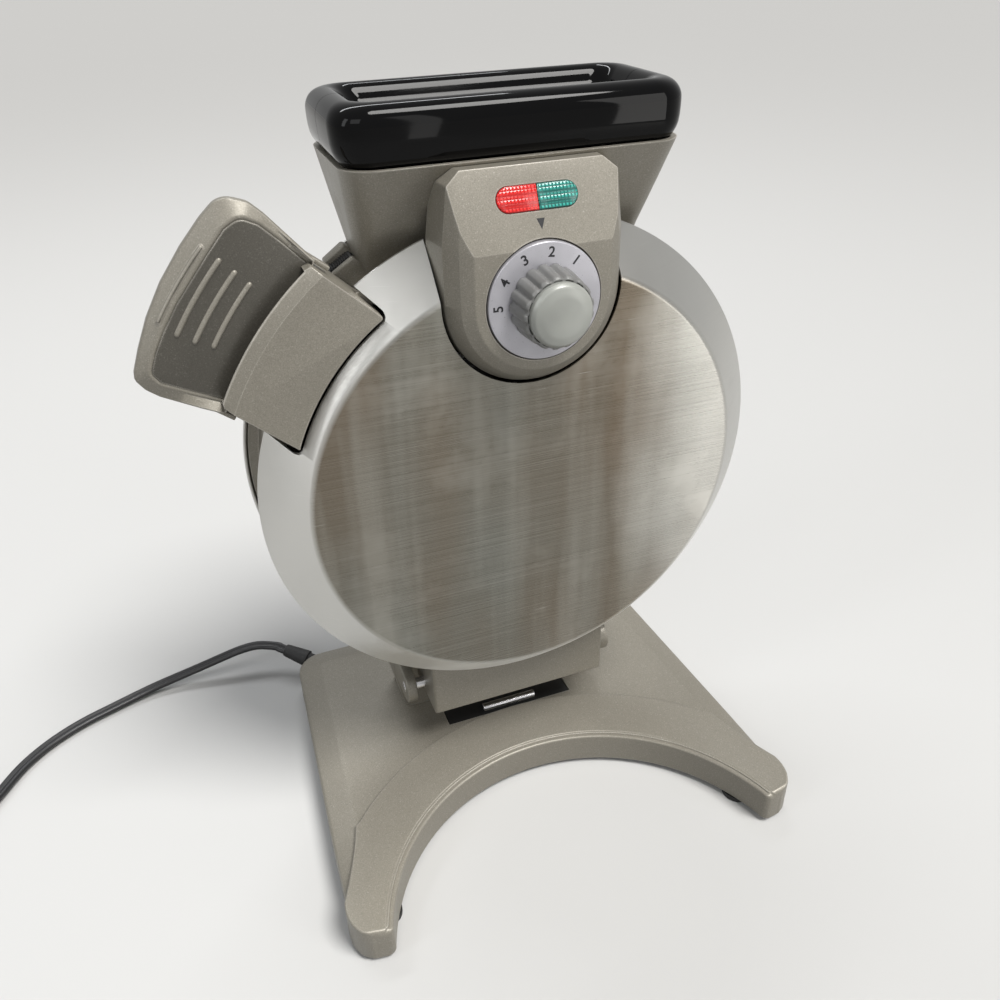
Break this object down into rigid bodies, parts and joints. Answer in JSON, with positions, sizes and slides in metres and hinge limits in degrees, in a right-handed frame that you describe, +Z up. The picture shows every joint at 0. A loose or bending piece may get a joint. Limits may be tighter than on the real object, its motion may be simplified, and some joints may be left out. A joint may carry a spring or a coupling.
{
  "type": "vertical waffle maker",
  "caption": "Upright waffle maker: round steel halves on edge that open forward, a batter funnel on top, a dial, lamps and a sprung release paddle, on a foot with a round bay.",
  "frame": {"origin": "middle of the footprint, without the lead, on the table under the feet", "axes": "+Z up, -Y to the front where the dial is, +X to the right as seen from the front"},
  "size_m": [0.4943, 0.2633, 0.342],
  "materials": {
    "taupe_plastic": "satin, finely speckled metallic",
    "brushed_steel": "brushed along the face",
    "black_gloss": "gloss",
    "black_plastic": "satin",
    "black_rubber": "matt",
    "dark_cast_metal": "cast, dark non-stick coat",
    "plain_metal": "plain",
    "dial_silver": "silver lacquer",
    "knob_grey": "satin",
    "cap_grey": "satin",
    "red_lens": "clear red lens",
    "green_lens": "clear green lens",
    "ceramic": "matt"
  },
  "bodies": {
    "stand": {"base_shell": "taupe_plastic", "base_floor": "black_plastic", "foot_front_left": "black_rubber", "foot_front_right": "black_rubber", "foot_rear_left": "black_rubber", "foot_rear_right": "black_rubber", "base_screw_front_left": "plain_metal", "base_screw_front_right": "plain_metal", "base_screw_rear_left": "plain_metal", "base_screw_rear_right": "plain_metal", "strain_relief": "black_rubber", "terminal_block": "ceramic", "bar_cradle": "black_plastic", "base_cross_bar": "plain_metal", "pedestal": "taupe_plastic", "hinge_pin": "plain_metal", "rear_shell": "brushed_steel", "rear_frame": "taupe_plastic", "parting_gasket": "black_rubber", "rear_waffle_plate": "dark_cast_metal", "rear_heating_element": "plain_metal", "rear_heat_shield": "plain_metal", "rear_neck": "taupe_plastic", "rear_funnel": "black_gloss", "latch_catch": "plain_metal", "power_cord": "black_rubber", "cord_coil": "black_rubber", "cord_tie": "black_plastic", "plug_body": "black_plastic", "plug_blade_left": "plain_metal", "plug_blade_right": "plain_metal"},
    "front_half": {"front_shell": "brushed_steel", "front_frame": "taupe_plastic", "front_waffle_plate": "dark_cast_metal", "front_heating_element": "plain_metal", "front_heat_shield": "plain_metal", "front_neck": "taupe_plastic", "front_funnel": "black_gloss", "control_housing": "taupe_plastic", "red_lens": "red_lens", "green_lens": "green_lens", "lamp_holder": "ceramic", "thermostat_body": "ceramic", "front_hinge_block": "taupe_plastic", "handle_shank_cover": "taupe_plastic", "handle_bracket": "plain_metal", "paddle_pin": "plain_metal", "paddle_spring": "plain_metal"},
    "knob_body": {"dial_skirt": "dial_silver", "knob": "knob_grey", "knob_cap": "cap_grey", "thermostat_shaft": "plain_metal"},
    "paddle_body": {"release_paddle": "taupe_plastic", "latch_hook": "plain_metal"}
  },
  "joints": [
    {"name": "front_open", "type": "hinge", "parent": "stand", "child": "front_half", "pos_m": [0.01683, 0.0139, 0.052], "axis": [1, 0, 0], "range_deg": [0, 80]},
    {"name": "knob_turn", "type": "hinge", "parent": "front_half", "child": "knob_body", "pos_m": [0.01683, -0.0355, 0.272], "axis": [0, -1, 0], "range_deg": [-103, 41]},
    {"name": "paddle_press", "type": "hinge", "parent": "front_half", "child": "paddle_body", "pos_m": [-0.07345, -0.0101, 0.25684], "axis": [0.628, 0, 0.7782], "range_deg": [0, 6], "stiffness_Nm_per_rad": 1.2, "springref_deg": -8.59}
  ]
}
